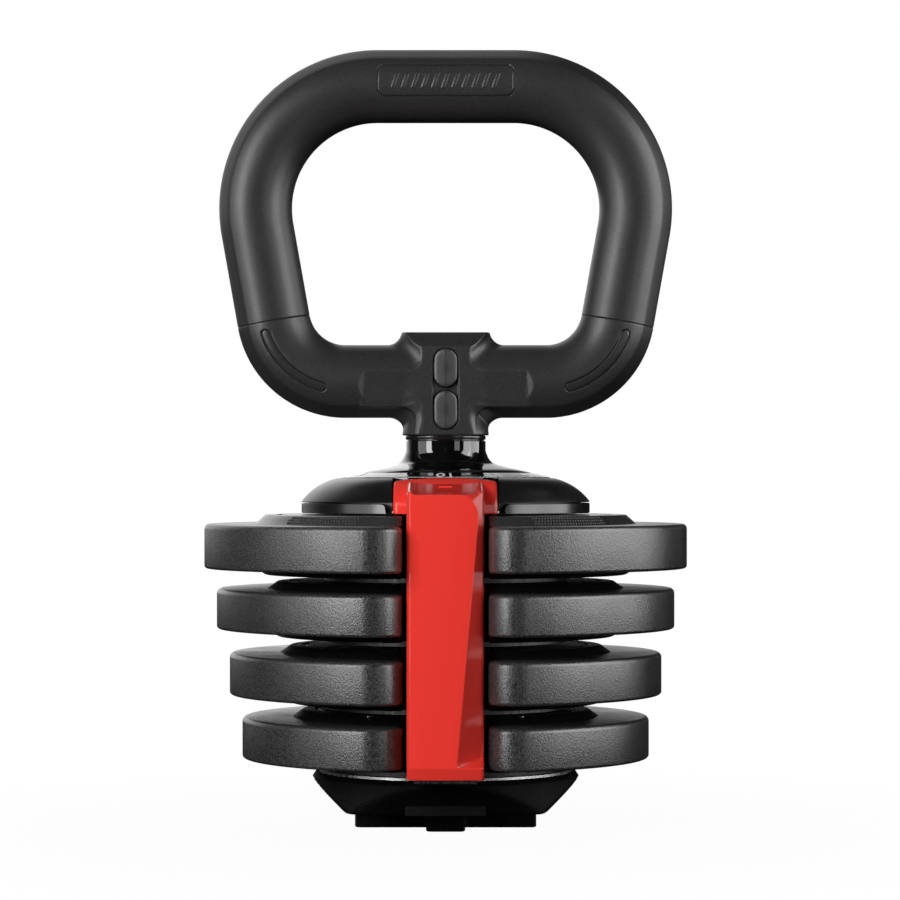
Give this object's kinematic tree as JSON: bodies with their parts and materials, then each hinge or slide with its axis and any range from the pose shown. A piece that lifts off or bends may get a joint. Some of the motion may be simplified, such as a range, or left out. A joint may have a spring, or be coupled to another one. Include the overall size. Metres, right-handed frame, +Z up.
{
  "type": "selectable-weight kettlebell",
  "caption": "Kettlebell with a D-shaped handle on a turning dial neck, slotted weight plates stacked round a red front column, selector discs and a squared base.",
  "frame": {"origin": "on the turning axis at the underside of the sole ribs, where the kettlebell stands", "axes": "+Z up along the turning axis towards the grip, -Y out through the front column, +X to the right seen from the front"},
  "size_m": [0.2214, 0.2161, 0.3571],
  "materials": {
    "grip": "fine matt texture",
    "inlay": "satin",
    "button": "satin",
    "gloss_black": "high gloss",
    "shroud": "semi gloss",
    "band": "satin",
    "red": "gloss",
    "plate": "speckled powder coat",
    "hub": "satin",
    "base": "fine matt texture",
    "bush": "satin bearing plastic",
    "steel": "machined",
    "steel_black": "black oxide"
  },
  "bodies": {
    "core": {"core_spool_1": "steel_black", "core_spool_2": "steel_black", "core_spool_3": "steel_black", "core_spool_4": "steel_black", "column_cover": "red", "column_bar": "steel", "column_pointer": "red", "column_screws": "steel", "top_shroud": "shroud", "shroud_band": "band", "dial_bush": "bush", "deck_screws": "steel", "base_cover": "base", "base_key": "base", "base_plate": "steel", "lower_bush": "bush", "base_screws": "steel", "base_sole": "base", "detent_cup": "bush", "detent_ball": "steel", "detent_spring": "steel", "stop_pin": "steel", "plate_3_casting": "plate", "plate_3_top_cover": "hub", "plate_3_low_cover": "hub", "plate_4_casting": "plate", "plate_4_top_cover": "hub", "plate_4_low_cover": "hub"},
    "selector": {"grip_shell_front": "grip", "grip_shell_back": "grip", "badge_plate": "grip", "yoke_shell_front": "grip", "yoke_shell_back": "grip", "corner_inlays": "inlay", "yoke_screws": "steel", "handle_frame": "steel", "handle_socket": "steel", "latch_spring_upper": "steel", "latch_spring_lower": "steel", "dial_neck": "gloss_black", "neck_collar": "gloss_black", "neck_set_screw": "steel", "handle_spigot": "steel", "selector_shaft": "steel", "shaft_washer": "steel", "shaft_bolt": "steel", "selector_disc_1": "steel_black", "selector_disc_2": "steel_black", "selector_disc_3": "steel_black", "selector_disc_4": "steel_black"},
    "button_upper": {"button_upper": "button", "latch_plate_upper": "steel"},
    "button_lower": {"button_lower": "button", "latch_plate_lower": "steel"},
    "plate_1": {"plate_1_casting": "plate", "plate_1_top_cover": "hub", "plate_1_low_cover": "hub"},
    "plate_2": {"plate_2_casting": "plate", "plate_2_top_cover": "hub", "plate_2_low_cover": "hub"}
  },
  "joints": [
    {"name": "selector_turn", "type": "hinge", "parent": "core", "child": "selector", "pos_m": [0, 0, 0.17], "axis": [0, 0, 1], "range_deg": [-90, 60]},
    {"name": "button_upper_press", "type": "slide", "parent": "selector", "child": "button_upper", "axis": [0, 1, 0], "range_m": [0, 0.0024], "stiffness_N_per_m": 1500, "springref_m": -0.001, "deforming": ["latch_spring_upper"]},
    {"name": "button_lower_press", "type": "slide", "parent": "selector", "child": "button_lower", "axis": [0, 1, 0], "range_m": [0, 0.0024], "stiffness_N_per_m": 1500, "springref_m": -0.001, "deforming": ["latch_spring_lower"]},
    {"name": "plate_1_slide", "type": "slide", "parent": "core", "child": "plate_1", "axis": [0, 1, 0], "range_m": [0, 0.13]},
    {"name": "plate_2_slide", "type": "slide", "parent": "core", "child": "plate_2", "axis": [0, 1, 0], "range_m": [0, 0.13]}
  ]
}
